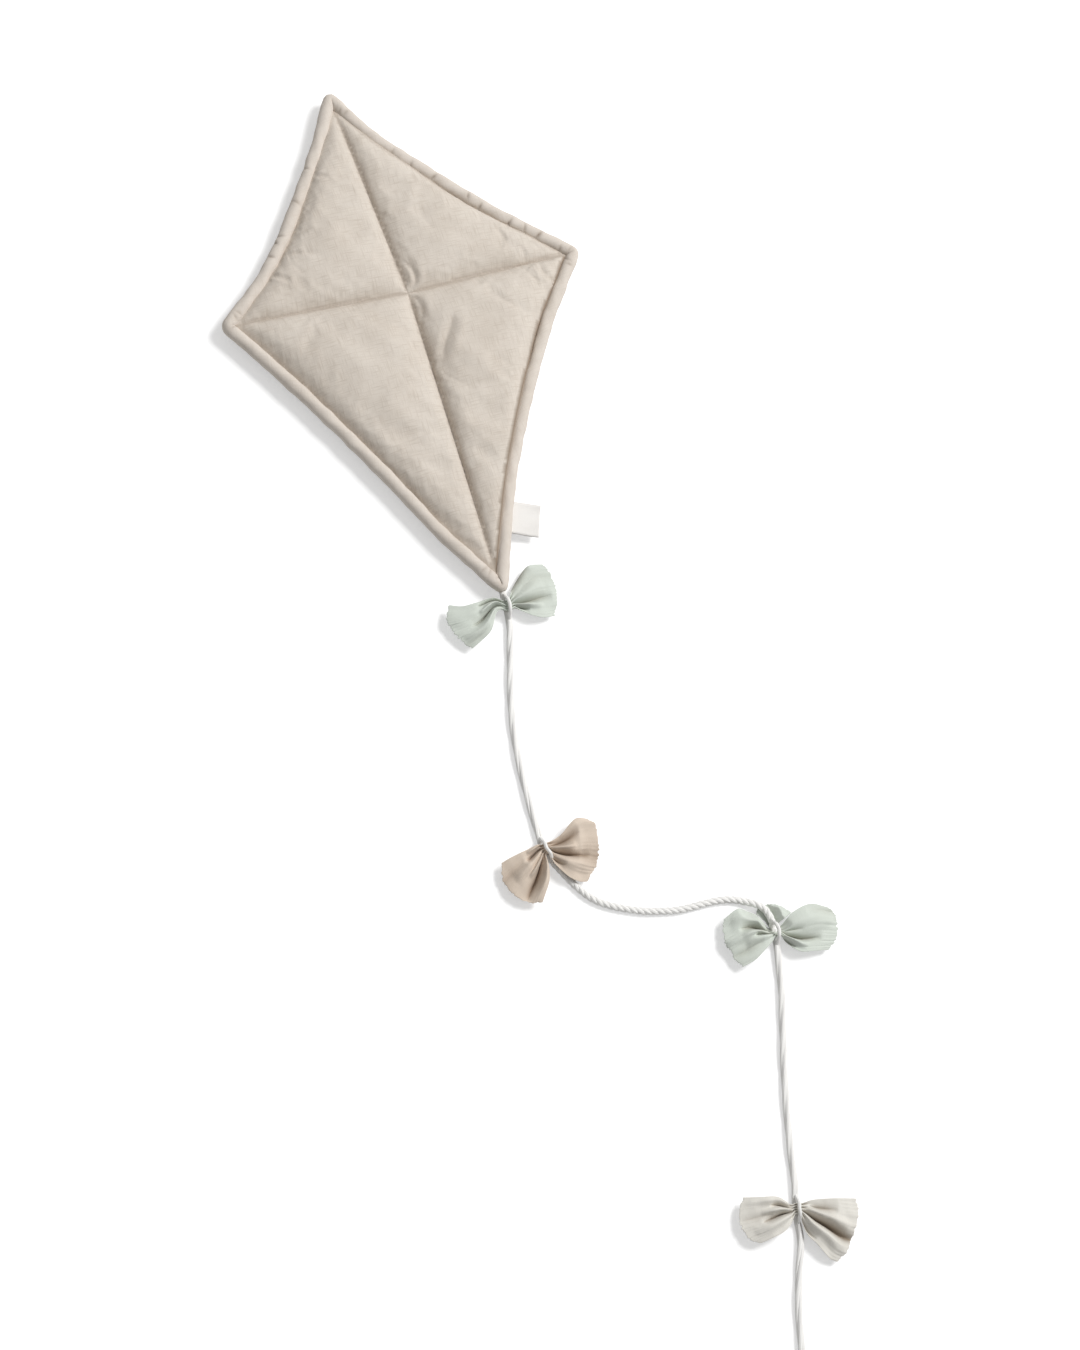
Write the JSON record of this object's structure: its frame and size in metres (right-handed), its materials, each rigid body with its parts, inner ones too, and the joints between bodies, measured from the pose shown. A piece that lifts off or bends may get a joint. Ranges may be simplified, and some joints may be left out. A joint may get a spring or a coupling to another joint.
{
  "type": "padded diamond kite",
  "caption": "Padded linen diamond kite, quilted along two crossing seams and edged with corded piping, with a twisted cotton tail carrying tied cloth bows.",
  "frame": {"origin": "centre of the kite on the surface it lies on, below the middle of its length and width", "axes": "+Z out of the front, +Y towards the top corner, +X towards the corner on the tag side"},
  "size_m": [0.33, 1.1607, 0.0299],
  "materials": {
    "linen": "natural greige linen, fine plain weave",
    "piping": "paler linen strip, puckered over its cord",
    "wadding": "white polyester wadding and cotton filler cord",
    "thread": "pale sewing thread",
    "tag_cotton": "off-white cotton tape, bare",
    "loop_cotton": "pale cotton cord",
    "tail_cotton": "white three-strand twisted cotton",
    "mint_cloth": "pale mint cotton, raw edges",
    "taupe_cloth": "taupe cotton, raw edges",
    "greige_cloth": "pale greige linen, raw edges"
  },
  "bodies": {
    "kite": {"front_panel": "linen", "back_panel": "linen", "filling": "wadding", "piping_cover": "piping", "piping_cord": "wadding", "spine_stitches": "thread", "spar_stitches": "thread", "tag_root": "tag_cotton", "loop_tack": "thread", "tail_end": "tail_cotton"},
    "tag": {"tag_flap": "tag_cotton"},
    "loop": {"hanging_loop": "loop_cotton"},
    "first_bow": {"bow_1": "mint_cloth", "knot_1": "tail_cotton"},
    "tail_1": {"tail_cord_1": "tail_cotton"},
    "second_bow": {"bow_2": "taupe_cloth", "knot_2": "tail_cotton"},
    "tail_2": {"tail_cord_2": "tail_cotton"},
    "third_bow": {"bow_3": "mint_cloth", "knot_3": "tail_cotton"},
    "tail_3": {"tail_cord_3": "tail_cotton"},
    "fourth_bow": {"bow_4": "greige_cloth", "knot_4": "tail_cotton"},
    "tail_4": {"tail_cord_4": "tail_cotton", "end_knot": "tail_cotton"}
  },
  "joints": [
    {"name": "tag_flip", "type": "hinge", "parent": "kite", "child": "tag", "pos_m": [0.03004, -0.16543, 0.00959], "axis": [-0.3769, -0.9262, 0], "range_deg": [-40, 80]},
    {"name": "loop_fold", "type": "hinge", "parent": "kite", "child": "loop", "pos_m": [0, 0.187, 0.0047], "axis": [-1, 0, 0], "range_deg": [0, 150]},
    {"name": "bow_turn_1", "type": "hinge", "parent": "kite", "child": "first_bow", "pos_m": [0, -0.234, 0.009], "axis": [0, 0, 1], "range_deg": [-12, 8]},
    {"name": "tail_bend_1", "type": "hinge", "parent": "kite", "child": "tail_1", "pos_m": [0, -0.234, 0.003], "axis": [0, 0, 1], "range_deg": [-22, 30]},
    {"name": "bow_turn_2", "type": "hinge", "parent": "tail_1", "child": "second_bow", "pos_m": [-0.036, -0.432, 0.009], "axis": [0, 0, 1], "range_deg": [-6, 12]},
    {"name": "tail_bend_2", "type": "hinge", "parent": "tail_1", "child": "tail_2", "pos_m": [-0.036, -0.432, 0.003], "axis": [0, 0, 1], "range_deg": [-25, 5]},
    {"name": "bow_turn_3", "type": "hinge", "parent": "tail_2", "child": "third_bow", "pos_m": [0.124, -0.544, 0.009], "axis": [0, 0, 1], "range_deg": [-12, 12]},
    {"name": "tail_bend_3", "type": "hinge", "parent": "tail_2", "child": "tail_3", "pos_m": [0.124, -0.544, 0.003], "axis": [0, 0, 1], "range_deg": [-25, 25]},
    {"name": "bow_turn_4", "type": "hinge", "parent": "tail_3", "child": "fourth_bow", "pos_m": [0.064, -0.754, 0.009], "axis": [0, 0, 1], "range_deg": [-12, 12]},
    {"name": "tail_bend_4", "type": "hinge", "parent": "tail_3", "child": "tail_4", "pos_m": [0.064, -0.754, 0.003], "axis": [0, 0, 1], "range_deg": [-25, 12]}
  ]
}
